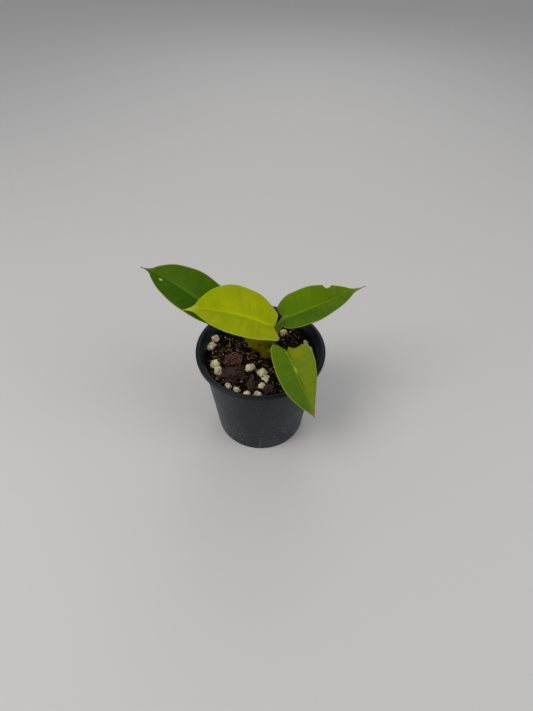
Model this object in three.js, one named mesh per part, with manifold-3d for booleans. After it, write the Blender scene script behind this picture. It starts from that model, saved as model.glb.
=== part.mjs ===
// Imperial gold philodendron: a young plant with four heart-shaped leaves in a round nursery pot.
// Millimetres, +Z up. The origin is the centre of the pot's base, and the front of the plant is -Y.

import * as THREE from 'three';
import { mergeVertices } from 'three/addons/utils/BufferGeometryUtils.js';
import Module from 'manifold-3d';

const wasm = await Module();
wasm.setup();

// Driving dimensions

const GAP = 0.3; // clearance between a piece and what carries it
const AROUND = 72; // facets round the pot and the soil
const WELD = 0.002; // corners of a cut closer than this become one

const POT = {
  height: 88,
  rimRadius: 52.5,
  lipWidth: 3.3,
  lipHeight: 4,
  neckRadius: 47.5, // outer radius just under the lip
  baseRadius: 38,
  wall: 1.4,
  floor: 2,
  drainRadius: 3.6,
  drainCircle: 29,
  drains: 6,
  edge: 0.9, // rounding of the lip's edges
  flare: 3.2, // depth over which the lip's inside runs into the wall
};

const SOIL = {
  level: 76.5, // height at the wall
  mound: 2, // rise towards the crown
  rings: 18,
  roughness: 1.5, // how far crumbs lift or sink the surface from its mean, both together
  swell: { height: 0.7, along: 0.21, across: 0.19, start: [1.1, 0.4] },
  ripples: [
    { height: 0.45, along: 0.74, across: 0.43, start: 0 },
    { height: 0.3, along: 0.5, across: -1.3, start: 2 },
  ],
};

// Perlite lies in runs of grains, each run from one place on the mix to another.
const PERLITE_RUNS = [
  { from: [-38.5, 20.5], to: [-40.5, 10.5], grains: 2, size: [3.3, 4.1] },
  { from: [-36.8, -10.4], to: [-33.4, -17.4], grains: 2, size: [3.1, 4.4] },
  { from: [-24.8, -31.6], to: [-9.8, -40.4], grains: 3, size: [2.4, 3.4] },
  { from: [-7.8, -15.0], to: [1.6, -19.4], grains: 2, size: [3.5, 4.2] },
  { from: [4.4, -25.4], to: [-0.8, -40.2], grains: 3, size: [2.2, 3.6] },
  { from: [19.4, 27.0], to: [20.6, 28.6], grains: 1, size: [3.4, 3.6] },
  { from: [38.4, 15.6], to: [40.6, 7.4], grains: 2, size: [2.4, 3.9] },
];

const PERLITE_SCATTER = 1.6; // how far grains lie off their run, both ways together
const PERLITE_ROUGHNESS = 0.3; // how uneven the grains are, as a share of their size
const PERLITE_RISE = 0.4; // height of a grain's middle above the soil, as a share of its half height
const BARK_ROUGHNESS = 0.22;
const BARK_RISE = 0.35;

// Bark lies in the mix: place on the soil, half sizes and turn about the vertical in degrees.
const BARK = {
  bark_chunk_brown: { place: [-22.2, -6.6], half: [7.2, 6.8, 4.6], turn: 0, seed: 11, color: 0x5a3424 },
  bark_chunk_dark: { place: [-21.6, -22.2], half: [10.2, 7.2, 4.8], turn: -8, seed: 23, color: 0x35201f },
  bark_chunk_front: { place: [7.4, -37.2], half: [5.2, 4.6, 3.6], turn: 20, seed: 37, color: 0x34201c },
  bark_strip: { place: [-6.8, -30.6], half: [2.7, 8.6, 2.4], turn: -6, seed: 41, color: 0x3a2a20 },
};

const CROWN = {
  place: [4.9, 1.8],
  bottom: 59,
  radius: 5.5,
  footRadius: 4.7,
  footHeight: 8,
  shoulder: 81,
  topRadius: 3.9,
  top: 88,
};

// The margin of half a blade, from the notch at the stalk round the lobe and out to the tip.
// The first number is the share of the length ahead of the stalk, or of the lobe behind it.
// The second is the share of the half width.
const HEART = [
  [0, 0], [-0.47, 0.09], [-0.97, 0.38], [-0.7, 0.64], [0.09, 0.9], [0.22, 1.01], [0.42, 0.99], [0.63, 0.73],
];
const SLIM_HEART = [
  [0, 0], [-0.35, 0.05], [-0.6, 0.17], [-0.55, 0.36], [-0.1, 0.58], [0.09, 0.82], [0.22, 0.98],
  [0.42, 0.98], [0.63, 0.73],
];
const TORN_HEART = [
  [0, 0], [-0.11, 0.07], [-0.39, 0.18], [-0.11, 0.29], [0.006, 0.44], [0.007, 0.62], [0.007, 0.78],
  [0.045, 0.96], [0.115, 1.04], [0.186, 1.09], [0.31, 1.08], [0.41, 0.975], [0.63, 0.73],
];
const DRIP_TIP = [[0.78, 0.36], [0.85, 0.13], [0.93, 0.025], [1, 0]];
const BLUNT_TIP = [[0.78, 0.42], [0.9, 0.17], [0.97, 0.035], [1, 0]];
const BLADE_ROWS = 34; // steps along the outline
const BLADE_COLUMNS = [0, 0.09, 0.3, 0.54, 0.78, 1]; // shares of the way from midrib to margin
const BLADE_THICKNESS = 0.9;
const MARGIN_THICKNESS = 0.64;
const MIDRIB_DEPTH = 1.1; // how far the midrib stands out under the blade, at the stalk
const VEIN_SWEEP = 1.6; // how far the side veins lean towards the tip
const RIPPLE = 0.23; // turn of the margin's ripple, in radians for each millimetre
const MIDRIB_STEPS = 48;

// Each blade starts at its base and runs along a heading seen from above, with a pitch above
// level. Pitch and heading change by dip and turn on the way to the tip. The roll lifts the
// left half (seen along the blade) and changes by twist. Fold raises both halves, and bow
// lowers their margins again. A taper under 1 sets the widest place further out. Widths,
// lobes and margins are given for the left and the right half.
const LEAVES = {
  leaf_back_left: {
    base: [-28.7, 10.3, 108.5], heading: 152, pitch: 30.5, dip: -39, turn: -9.5, roll: -10, twist: -16,
    fold: 13, bow: 3.9, length: 89, taper: 0.93, width: { left: 16.3, right: 21.6 },
    lobe: { left: 10, right: 10 }, wave: 0.4, notches: [], color: 0x5f8a12,
    margin: { left: [...SLIM_HEART, ...DRIP_TIP], right: [...HEART, ...DRIP_TIP] },
  },
  leaf_gold: {
    base: [9.3, -9.2, 119.4], heading: 181, pitch: 36, dip: -37, turn: 5, roll: -4, twist: -20,
    fold: 10, bow: 2.2, length: 71, taper: 0.89, width: { left: 19.8, right: 25.5 },
    lobe: { left: 4.8, right: 3 }, wave: 0.4, notches: [], color: 0xb4c018,
    margin: { left: [...HEART, ...DRIP_TIP], right: [...HEART, ...DRIP_TIP] },
  },
  leaf_right: {
    base: [19.3, 12.8, 109.2], heading: 10.5, pitch: 20.5, dip: -12, turn: 12.5, roll: 4, twist: -2,
    fold: 12, bow: 0.5, length: 70, taper: 1.15, width: { left: 20, right: 18 },
    lobe: { left: 3.4, right: 3 }, wave: 0.4,
    notches: [{ side: 'left', at: 0.655, width: 0.055, depth: 0.17 }], color: 0x86ac14,
    margin: { left: [...HEART, ...DRIP_TIP], right: [...HEART, ...DRIP_TIP] },
  },
  leaf_front_right: {
    base: [19, -33, 117.5], heading: -53, pitch: -41, dip: -28.5, turn: 16, roll: -6.5, twist: -12.5,
    fold: 7, bow: 1.6, length: 58.2, taper: 0.96, width: { left: 20.5, right: 17.8 },
    lobe: { left: 6.6, right: 9.5 }, wave: 0.4, notches: [], color: 0x8fa516,
    margin: { left: [...TORN_HEART, ...BLUNT_TIP], right: [...HEART, ...BLUNT_TIP] },
  },
};

// Each stalk leaves the crown low down and rises through its waypoints to its blade.
const STALKS = {
  leaf_back_left: { start: [-1.0, 0.2], via: [[0.4, 0.9, 87.5], [-11.5, 3.4, 97.5]], radius: [3.1, 2.1] },
  leaf_gold: { start: [0.4, -1.2], via: [[5.6, 0.8, 87], [8.6, -3.8, 104]], radius: [3.2, 1.9] },
  leaf_right: { start: [1.2, 1.2], via: [[7.2, 3.8, 85], [11.5, 8.6, 97]], radius: [3.2, 2.7] },
  leaf_front_right: { start: [0.8, -0.2], via: [[7.4, -1.6, 86.5], [13, -12, 95.9]], radius: [2.9, 1.9] },
};
const STALK_TIP_RADIUS = 1.5;
const STALK_SEAT = { below: 0.5, ahead: 1.5 }; // where the stalk's tip meets the blade
const STALK_STEPS = 16;
const STALK_SIDES = 10;
const STALK_START_HEIGHT = 75;

// A papery sheath leaf stands in the crown between the stalks.
const SHEATH = {
  via: [[4.8, 1.4, 78], [2.9, 0.9, 86], [-3.7, 1.0, 98], [-8, 2.2, 109]],
  halfWidths: [3.2, 6.1, 9.3, 7.6, 0.7],
  halfDepths: [3.0, 2.6, 1.7, 1.0, 0.5],
  facing: [0.05, -1, 0],
  steps: 14,
  sides: 12,
};

const degrees = THREE.MathUtils.degToRad;

// Repeatable random numbers between 0 and 1.
function randomFrom(seed) {
  let state = seed;
  return () => {
    state = (state * 16807) % 2147483647;
    return state / 2147483647;
  };
}

function between([low, high], share) {
  return low + (high - low) * share;
}

// Solids from geometry, and geometry from solids

function solidFrom(geometry) {
  const bare = geometry.clone();
  bare.deleteAttribute('normal');
  bare.deleteAttribute('uv');
  const merged = mergeVertices(bare, 1e-4);
  const triangles = [];
  for (let i = 0; i < merged.index.count; i += 3) {
    const corners = [0, 1, 2].map((k) => merged.index.getX(i + k));
    if (new Set(corners).size === 3) {
      triangles.push(...corners);
    }
  }
  const mesh = new wasm.Mesh({
    numProp: 3,
    vertProperties: new Float32Array(merged.attributes.position.array),
    triVerts: new Uint32Array(triangles),
  });
  mesh.merge();
  return new wasm.Manifold(mesh);
}

function geometryFrom(solid) {
  const mesh = solid.getMesh();
  const raw = new THREE.BufferGeometry();
  raw.setAttribute('position', new THREE.Float32BufferAttribute(mesh.vertProperties, 3));
  raw.setIndex(Array.from(mesh.triVerts));
  const welded = mergeVertices(raw, WELD);
  const positions = Array.from(welded.attributes.position.array);
  return closedGeometry(positions, largestBody(withoutSlivers(Array.from(welded.index.array))));
}

// Drops triangles that welding has closed up: those with a corner twice, and pairs back to back.
function withoutSlivers(triangles) {
  const kept = new Map();
  for (let i = 0; i < triangles.length; i += 3) {
    const corners = triangles.slice(i, i + 3);
    if (new Set(corners).size === 3) {
      const key = [...corners].sort((a, b) => a - b).join(' ');
      if (kept.has(key)) {
        kept.delete(key);
      } else {
        kept.set(key, corners);
      }
    }
  }
  return [...kept.values()].flat();
}

// Keeps the body with the most triangles and drops loose scraps that a cut has left.
function largestBody(triangles) {
  const parent = new Map();
  const root = (corner) => {
    let top = corner;
    while (parent.has(top)) {
      top = parent.get(top);
    }
    return top;
  };
  for (let i = 0; i < triangles.length; i += 3) {
    const first = root(triangles[i]);
    for (const corner of [triangles[i + 1], triangles[i + 2]]) {
      const other = root(corner);
      if (other !== first) {
        parent.set(other, first);
      }
    }
  }
  const bodies = new Map();
  for (let i = 0; i < triangles.length; i += 3) {
    const body = root(triangles[i]);
    if (!bodies.has(body)) {
      bodies.set(body, []);
    }
    bodies.get(body).push(triangles[i], triangles[i + 1], triangles[i + 2]);
  }
  return [...bodies.values()].sort((a, b) => b.length - a.length)[0];
}

function closedGeometry(positions, triangles) {
  const geometry = new THREE.BufferGeometry();
  geometry.setAttribute('position', new THREE.Float32BufferAttribute(positions, 3));
  geometry.setIndex(triangles);
  geometry.computeVertexNormals();
  return geometry;
}

function revolve(profile, facets) {
  const points = profile.map(([radius, height]) => new THREE.Vector2(radius, height));
  const geometry = new THREE.LatheGeometry(points, facets);
  geometry.rotateX(Math.PI / 2);
  return geometry;
}

// Pot

function innerRadius(height) {
  const neckHeight = POT.height - POT.lipHeight;
  const slope = (POT.neckRadius - POT.baseRadius) / neckHeight;
  return POT.baseRadius - POT.wall + slope * height;
}

function potGeometry() {
  const under = POT.height - POT.lipHeight;
  const lipInside = POT.rimRadius - POT.lipWidth;
  const profile = [
    [0, 0],
    [POT.baseRadius - POT.edge, 0],
    [POT.baseRadius, POT.edge],
    [POT.neckRadius, under],
    [POT.rimRadius - POT.edge / 2, under + POT.edge / 4],
    [POT.rimRadius, under + POT.edge],
    [POT.rimRadius, POT.height - POT.edge],
    [POT.rimRadius - POT.edge, POT.height],
    [lipInside + POT.edge / 2, POT.height],
    [lipInside - POT.flare / 5, POT.height - POT.flare / 3],
    [lipInside - POT.flare / 2, POT.height - POT.flare],
    [innerRadius(under - POT.floor), under - POT.floor],
    [innerRadius(POT.floor), POT.floor],
    [0, POT.floor],
  ];
  let pot = solidFrom(revolve(profile, AROUND));
  for (let i = 0; i < POT.drains; i += 1) {
    const angle = (i / POT.drains) * Math.PI * 2;
    const drain = new THREE.CylinderGeometry(POT.drainRadius, POT.drainRadius, POT.floor * 3, 20);
    drain.rotateX(Math.PI / 2);
    drain.translate(POT.drainCircle * Math.cos(angle), POT.drainCircle * Math.sin(angle), POT.floor / 2);
    pot = pot.subtract(solidFrom(drain));
  }
  return geometryFrom(pot);
}

// Lumps: bark and perlite

function lumpGeometry(half, detail, roughness, random) {
  const ball = new THREE.IcosahedronGeometry(1, detail);
  ball.deleteAttribute('normal');
  ball.deleteAttribute('uv');
  const lump = mergeVertices(ball, 1e-3);
  const corners = lump.attributes.position;
  for (let i = 0; i < corners.count; i += 1) {
    const reach = 1 + roughness * (random() - 0.5);
    corners.setXYZ(
      i,
      corners.getX(i) * half[0] * reach,
      corners.getY(i) * half[1] * reach,
      corners.getZ(i) * half[2] * reach,
    );
  }
  return lump;
}

// Soil

function soilHeight(x, y) {
  const share = Math.min(1, Math.hypot(x, y) / innerRadius(SOIL.level));
  const { height, along, across, start } = SOIL.swell;
  let surface = SOIL.level + SOIL.mound * (1 - share * share);
  surface += height * Math.sin(along * x + start[0]) * Math.cos(across * y + start[1]);
  for (const ripple of SOIL.ripples) {
    surface += ripple.height * Math.sin(ripple.along * x + ripple.across * y + ripple.start);
  }
  return surface;
}

function soilBody() {
  const random = randomFrom(5);
  const positions = [0, 0, soilHeight(0, 0)];
  const triangles = [];
  for (let ring = 1; ring <= SOIL.rings; ring += 1) {
    for (let step = 0; step < AROUND; step += 1) {
      const angle = (step / AROUND) * Math.PI * 2;
      const level = (ring / SOIL.rings) * (innerRadius(SOIL.level) - GAP);
      const crumb = SOIL.roughness * (random() - 0.5);
      const height = soilHeight(level * Math.cos(angle), level * Math.sin(angle)) + crumb;
      const radius = ring < SOIL.rings ? level : innerRadius(height) - GAP;
      positions.push(radius * Math.cos(angle), radius * Math.sin(angle), height);
    }
  }
  const foot = positions.length / 3;
  const footHeight = POT.floor + GAP;
  const footRadius = innerRadius(footHeight) - GAP;
  for (let step = 0; step < AROUND; step += 1) {
    const angle = (step / AROUND) * Math.PI * 2;
    positions.push(footRadius * Math.cos(angle), footRadius * Math.sin(angle), footHeight);
  }
  const footCentre = positions.length / 3;
  positions.push(0, 0, footHeight);
  const at = (ring, step) => 1 + (ring - 1) * AROUND + (step % AROUND);
  for (let step = 0; step < AROUND; step += 1) {
    triangles.push(0, at(1, step), at(1, step + 1));
    for (let ring = 1; ring <= SOIL.rings; ring += 1) {
      triangles.push(at(ring, step), at(ring + 1, step), at(ring + 1, step + 1));
      triangles.push(at(ring, step), at(ring + 1, step + 1), at(ring, step + 1));
    }
    triangles.push(footCentre, foot + ((step + 1) % AROUND), foot + step);
  }
  return solidFrom(closedGeometry(positions, triangles));
}

function perliteGrains() {
  const random = randomFrom(17);
  const grains = [];
  for (const run of PERLITE_RUNS) {
    for (let i = 0; i < run.grains; i += 1) {
      const share = i / Math.max(1, run.grains - 1);
      const x = between([run.from[0], run.to[0]], share) + PERLITE_SCATTER * (random() - 0.5);
      const y = between([run.from[1], run.to[1]], share) + PERLITE_SCATTER * (random() - 0.5);
      const size = between(run.size, random());
      const half = [size * (0.85 + 0.35 * random()), size, size * 0.85];
      grains.push({ x, y, half, random });
    }
  }
  return grains;
}

function settled(grain) {
  const lump = lumpGeometry(grain.half, 1, PERLITE_ROUGHNESS, grain.random);
  lump.rotateZ(grain.random() * Math.PI);
  lump.translate(grain.x, grain.y, soilHeight(grain.x, grain.y) + grain.half[2] * PERLITE_RISE);
  return solidFrom(lump);
}

function insidePot() {
  const profile = [
    [0, POT.floor + GAP],
    [innerRadius(POT.floor) - GAP, POT.floor + GAP],
    [innerRadius(POT.height) - GAP, POT.height],
    [0, POT.height],
  ];
  return solidFrom(revolve(profile, AROUND));
}

function barkLump(bark, spare) {
  const half = bark.half.map((size) => size + spare);
  const lump = lumpGeometry(half, 2, BARK_ROUGHNESS, randomFrom(bark.seed));
  lump.rotateZ(degrees(bark.turn));
  return lump;
}

function barkPlace(bark) {
  const [x, y] = bark.place;
  return new THREE.Vector3(x, y, soilHeight(x, y) + bark.half[2] * BARK_RISE);
}

function soilGeometry() {
  let soil = soilBody();
  for (const grain of perliteGrains()) {
    soil = soil.add(settled(grain));
  }
  soil = soil.intersect(insidePot());
  for (const bark of Object.values(BARK)) {
    const place = barkPlace(bark);
    soil = soil.subtract(solidFrom(barkLump(bark, GAP * 1.5).translate(place.x, place.y, place.z)));
  }
  const depth = POT.height + 10 - CROWN.bottom;
  const hole = new THREE.CylinderGeometry(CROWN.radius + GAP * 1.3, CROWN.radius + GAP * 1.3, depth, 24);
  hole.rotateX(Math.PI / 2);
  hole.translate(CROWN.place[0], CROWN.place[1], CROWN.bottom - GAP + depth / 2);
  return geometryFrom(soil.subtract(solidFrom(hole)));
}

// Leaf blades

function midribStations(leaf) {
  const stations = [];
  const point = new THREE.Vector3();
  let previous = null;
  for (let i = 0; i <= MIDRIB_STEPS; i += 1) {
    const share = i / MIDRIB_STEPS;
    const frame = bladeFrame(leaf, share);
    if (previous) {
      const mean = previous.clone().add(frame.ahead).multiplyScalar(leaf.length / MIDRIB_STEPS / 2);
      point.add(mean);
    }
    stations.push(point.clone());
    previous = frame.ahead;
  }
  return stations;
}

function bladeFrame(leaf, share) {
  const heading = degrees(leaf.heading + leaf.turn * share);
  const pitch = degrees(leaf.pitch + leaf.dip * share);
  const roll = degrees(leaf.roll + leaf.twist * share);
  const ahead = new THREE.Vector3(
    Math.cos(heading) * Math.cos(pitch),
    Math.sin(heading) * Math.cos(pitch),
    Math.sin(pitch),
  );
  const level = new THREE.Vector3(-Math.sin(heading), Math.cos(heading), 0);
  const upright = ahead.clone().cross(level);
  const left = level.clone().multiplyScalar(Math.cos(roll)).addScaledVector(upright, Math.sin(roll));
  const up = ahead.clone().cross(left);
  return { ahead, left, up };
}

function bladePoint(leaf, stations, along, across, lift) {
  const share = THREE.MathUtils.clamp(along / leaf.length, 0, 1);
  const frame = bladeFrame(leaf, share);
  const place = share * (stations.length - 1);
  const index = Math.min(Math.floor(place), stations.length - 2);
  const point = stations[index].clone().lerp(stations[index + 1], place - index);
  point.addScaledVector(bladeFrame(leaf, 0).ahead, Math.min(along, 0));
  const reach = Math.abs(across);
  const widest = Math.max(leaf.width.left, leaf.width.right);
  const fold = degrees(leaf.fold);
  const ripple = leaf.wave * Math.sin(along * RIPPLE + Math.sign(across)) * (reach / widest) ** 2;
  const rise = Math.sin(fold) * reach - leaf.bow * (reach / widest) ** 2 + ripple;
  point.addScaledVector(frame.left, across * Math.cos(fold));
  return point.addScaledVector(frame.up, rise + lift);
}

function notchDepth(leaf, side, share) {
  let depth = 0;
  for (const notch of leaf.notches) {
    if (notch.side === side) {
      const off = Math.abs(share - notch.at) / (notch.width / 2);
      depth = Math.max(depth, notch.depth * THREE.MathUtils.clamp(2.2 - 1.6 * off, 0, 1));
    }
  }
  return depth;
}

function bladeGeometry(leaf, spare = 0) {
  const stations = midribStations(leaf);
  const positions = [];
  const triangles = [];
  const known = new Map();
  const last = BLADE_COLUMNS.length - 1;
  const margins = {};
  for (const side of ['left', 'right']) {
    const control = leaf.margin[side].map(([x, y]) => new THREE.Vector3(
      x < 0 ? x * leaf.lobe[side] : x ** leaf.taper * leaf.length,
      y * leaf.width[side],
      0,
    ));
    margins[side] = new THREE.CatmullRomCurve3(control, false, 'catmullrom', 0.5);
  }

  function corner(row, column, side, face) {
    const end = row === 0 || row === BLADE_ROWS;
    const at = end ? 0 : column;
    const key = `${row} ${at} ${at === 0 ? 'rib' : side} ${face}`;
    if (!known.has(key)) {
      const share = row / BLADE_ROWS;
      const rib = leaf.length * share ** VEIN_SWEEP;
      const margin = margins[side].getPointAt(share);
      const out = BLADE_COLUMNS[at] * (1 - notchDepth(leaf, side, share));
      const along = rib + (margin.x - rib) * out;
      const across = margin.y * out * (side === 'left' ? 1 : -1);
      const half = THREE.MathUtils.lerp(BLADE_THICKNESS, MARGIN_THICKNESS, BLADE_COLUMNS[at]) / 2 + spare;
      const ribDepth = at === 0 ? MIDRIB_DEPTH * (1 - share) : 0;
      const lift = face === 'top' ? half : -half - ribDepth;
      const point = bladePoint(leaf, stations, along, across, lift);
      known.set(key, positions.length / 3);
      positions.push(point.x, point.y, point.z);
    }
    return known.get(key);
  }

  function triangle(a, b, c) {
    if (a !== b && b !== c && c !== a) {
      triangles.push(a, b, c);
    }
  }

  function quad(a, b, c, d, flip) {
    const corners = flip ? [a, d, c, b] : [a, b, c, d];
    triangle(corners[0], corners[1], corners[2]);
    triangle(corners[0], corners[2], corners[3]);
  }

  for (let row = 0; row < BLADE_ROWS; row += 1) {
    for (const side of ['left', 'right']) {
      const mirrored = side === 'right';
      for (let column = 0; column < last; column += 1) {
        for (const face of ['top', 'bottom']) {
          quad(
            corner(row, column, side, face),
            corner(row + 1, column, side, face),
            corner(row + 1, column + 1, side, face),
            corner(row, column + 1, side, face),
            mirrored !== (face === 'bottom'),
          );
        }
      }
      quad(
        corner(row, last, side, 'top'),
        corner(row + 1, last, side, 'top'),
        corner(row + 1, last, side, 'bottom'),
        corner(row, last, side, 'bottom'),
        mirrored,
      );
    }
  }
  return closedGeometry(positions, triangles);
}

// Stem: the crown, its stalks and the sheath

function sweep(points, facing, steps, sides, sizeAt) {
  const curve = new THREE.CatmullRomCurve3(points);
  const positions = [];
  const triangles = [];
  for (let step = 0; step <= steps; step += 1) {
    const share = step / steps;
    const centre = curve.getPointAt(share);
    const ahead = curve.getTangentAt(share);
    const across = facing.clone().cross(ahead).normalize();
    const front = ahead.clone().cross(across).normalize();
    const [wide, deep] = sizeAt(share);
    for (let side = 0; side < sides; side += 1) {
      const angle = (side / sides) * Math.PI * 2;
      const point = centre.clone()
        .addScaledVector(across, wide * Math.cos(angle))
        .addScaledVector(front, deep * Math.sin(angle));
      positions.push(point.x, point.y, point.z);
    }
  }
  const start = positions.length / 3;
  const first = curve.getPointAt(0);
  const final = curve.getPointAt(1);
  positions.push(first.x, first.y, first.z, final.x, final.y, final.z);
  for (let side = 0; side < sides; side += 1) {
    const next = (side + 1) % sides;
    for (let step = 0; step < steps; step += 1) {
      const low = step * sides;
      const high = low + sides;
      triangles.push(low + side, low + next, high + next, low + side, high + next, high + side);
    }
    triangles.push(start, next, side);
    triangles.push(start + 1, steps * sides + side, steps * sides + next);
  }
  return closedGeometry(positions, triangles);
}

function valueAlong(values, share) {
  const place = share * (values.length - 1);
  const index = Math.min(Math.floor(place), values.length - 2);
  return between([values[index], values[index + 1]], place - index);
}

function crownSolid() {
  const profile = [
    [0, CROWN.bottom],
    [CROWN.footRadius, CROWN.bottom],
    [CROWN.radius, CROWN.bottom + CROWN.footHeight],
    [CROWN.radius, CROWN.shoulder],
    [CROWN.topRadius, CROWN.top - 2],
    [0, CROWN.top],
  ];
  return solidFrom(revolve(profile, 20).translate(CROWN.place[0], CROWN.place[1], 0));
}

function stalkSolid(name) {
  const stalk = STALKS[name];
  const leaf = LEAVES[name];
  const frame = bladeFrame(leaf, 0);
  const seat = new THREE.Vector3(...leaf.base).addScaledVector(frame.up, -STALK_TIP_RADIUS - STALK_SEAT.below);
  seat.addScaledVector(frame.ahead, STALK_SEAT.ahead);
  const foot = [CROWN.place[0] + stalk.start[0], CROWN.place[1] + stalk.start[1], STALK_START_HEIGHT];
  const points = [new THREE.Vector3(...foot)];
  for (const via of stalk.via) {
    points.push(new THREE.Vector3(...via));
  }
  points.push(seat);
  const sizeAt = (share) => {
    const radius = THREE.MathUtils.lerp(stalk.radius[0], stalk.radius[1], Math.min(1, share * 1.6));
    const tip = THREE.MathUtils.smoothstep(share, 0.88, 1);
    const wide = THREE.MathUtils.lerp(radius, STALK_TIP_RADIUS, tip);
    return [wide, wide];
  };
  return solidFrom(sweep(points, new THREE.Vector3(0, -1, 0.2), STALK_STEPS, STALK_SIDES, sizeAt));
}

function sheathSolid() {
  const points = SHEATH.via.map((via) => new THREE.Vector3(...via));
  const sizeAt = (share) => [valueAlong(SHEATH.halfWidths, share), valueAlong(SHEATH.halfDepths, share)];
  return solidFrom(sweep(points, new THREE.Vector3(...SHEATH.facing), SHEATH.steps, SHEATH.sides, sizeAt));
}

function stemGeometry() {
  let stem = crownSolid().add(sheathSolid());
  for (const name of Object.keys(STALKS)) {
    stem = stem.add(stalkSolid(name));
  }
  for (const leaf of Object.values(LEAVES)) {
    stem = stem.subtract(solidFrom(bladeGeometry(leaf, GAP * 1.2).translate(...leaf.base)));
  }
  return geometryFrom(stem);
}

// Assembly

function place(name, geometry, color, roughness, position = [0, 0, 0]) {
  const material = new THREE.MeshStandardMaterial({ color, roughness, metalness: 0 });
  const mesh = new THREE.Mesh(geometry, material);
  mesh.name = name;
  mesh.position.set(...position);
  return mesh;
}

const group = new THREE.Group();
group.add(place('pot', potGeometry(), 0x343b40, 0.5));
group.add(place('soil', soilGeometry(), 0x1d1712, 0.95));
for (const [name, bark] of Object.entries(BARK)) {
  group.add(place(name, barkLump(bark, 0), bark.color, 0.9, barkPlace(bark).toArray()));
}
group.add(place('stem', stemGeometry(), 0x8c9020, 0.45));
for (const [name, leaf] of Object.entries(LEAVES)) {
  group.add(place(name, bladeGeometry(leaf), leaf.color, 0.35, leaf.base));
}

export default group;
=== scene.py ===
import math
import random
from functools import partialmethod

import bpy
from mathutils import Matrix, Vector, noise


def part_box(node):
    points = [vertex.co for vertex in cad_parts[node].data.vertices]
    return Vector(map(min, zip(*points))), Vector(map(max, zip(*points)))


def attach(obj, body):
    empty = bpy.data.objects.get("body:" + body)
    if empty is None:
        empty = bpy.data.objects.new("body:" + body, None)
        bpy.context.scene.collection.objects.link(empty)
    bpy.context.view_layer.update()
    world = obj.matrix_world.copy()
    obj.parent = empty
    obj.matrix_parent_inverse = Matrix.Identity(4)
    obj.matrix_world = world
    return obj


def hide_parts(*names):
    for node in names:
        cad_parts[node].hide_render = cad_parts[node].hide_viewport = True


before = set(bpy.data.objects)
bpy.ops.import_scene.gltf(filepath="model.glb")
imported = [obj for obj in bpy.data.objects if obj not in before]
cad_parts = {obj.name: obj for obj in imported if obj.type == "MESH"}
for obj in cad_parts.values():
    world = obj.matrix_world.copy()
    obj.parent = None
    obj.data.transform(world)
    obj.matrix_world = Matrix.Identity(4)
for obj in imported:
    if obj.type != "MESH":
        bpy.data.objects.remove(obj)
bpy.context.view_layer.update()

bl_info = {
    "name": "Potted gold philodendron",
    "version": (1, 0, 0),
    "blender": (4, 5, 0),
    "location": "3D View > Sidebar > Plant",
    "description": "Builds a young gold philodendron in a nursery pot",
    "category": "Add Mesh",
}

MM = 0.001
BODY = "root"
POT_HIGH = Vector(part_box("pot")[1])

# Sizes that the pieces share, in millimetres

POT_HEIGHT = POT_HIGH.z / MM
RIM_RADIUS = POT_HIGH.x / MM
LIP_WIDTH = 3.3
LIP_HEIGHT = 4.0
NECK_RADIUS = 47.5
BASE_RADIUS = 38.0
WALL = 1.4
FLOOR = 2.0
DRAIN_RADIUS = 3.6
DRAIN_CIRCLE = 29.0
DRAINS = 6
EDGE_ROUND = 0.9
POT_SIDES = 144
DRAIN_SIDES = 32

# The mix, its gap to the wall, and how far from the wall the middles of crumbs, chips and splinters stay
MIX_LEVEL = 76.5
MIX_MOUND = 2.0
MIX_GAP = 0.15
MIX_EDGE = 1.6
CRUMB_SEED = 8

# Each run of perlite grains: its two ends, how many grains, and their least and largest half size.
# Known fault: the grains aren't cut at the wall, and those of the first run come out through it.
PERLITE_RUNS = (
    ((-38.5, 20.5), (-40.5, 10.5), 2, (3.3, 4.1)),
    ((-36.8, -10.4), (-33.4, -17.4), 2, (3.1, 4.4)),
    ((-24.8, -31.6), (-9.8, -40.4), 3, (2.4, 3.4)),
    ((-7.8, -15.0), (1.6, -19.4), 2, (3.5, 4.2)),
    ((4.4, -25.4), (-0.8, -40.2), 3, (2.2, 3.6)),
    ((19.4, 27.0), (20.6, 28.6), 1, (3.4, 3.6)),
    ((38.4, 15.6), (40.6, 7.4), 2, (2.4, 3.9)),
)
PERLITE_SCATTER = 1.6
PERLITE_SEED = 17
PERLITE_SHAPE_SEED = 3
PERLITE_DUST = 26

# Each piece of bark: the turn of its grain in degrees, boxiness, ridges, slot and colours.
BARK = {
    "bark_chunk_brown": (72, 0.8, 0.13, "bark_brown", (118, 68, 44), (44, 22, 15)),
    "bark_chunk_dark": (20, 0.8, 0.13, "bark_dark", (78, 46, 40), (26, 14, 13)),
    "bark_chunk_front": (75, 0.8, 0.14, "bark_dark", (76, 40, 33), (26, 13, 11)),
    "bark_strip": (84, 0.7, 0.12, "bark_brown", (92, 64, 42), (30, 20, 13)),
}

# Heaps of pale splinters as place and spread, and one bare root as a strand
SPLINTER_HEAPS = (
    (-17.5, 8.5, 4.5), (30.0, 15.0, 5.0), (-29.0, 6.0, 4.0), (-35.0, -22.0, 2.5), (12.0, -16.0, 5.0),
)
ROOT_LOOP = (-10.5, -4.5, 1.9, -0.20, 9.0, 0.42)

CROWN_PLACE = (4.9, 1.8)
CROWN_RADIUS = 5.5
CROWN_HEIGHTS = (60, 70, 80, 87)
CROWN_RADII = (4.7, 5.5, 5.6, 5.4, 5.2, 3.6)

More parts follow.
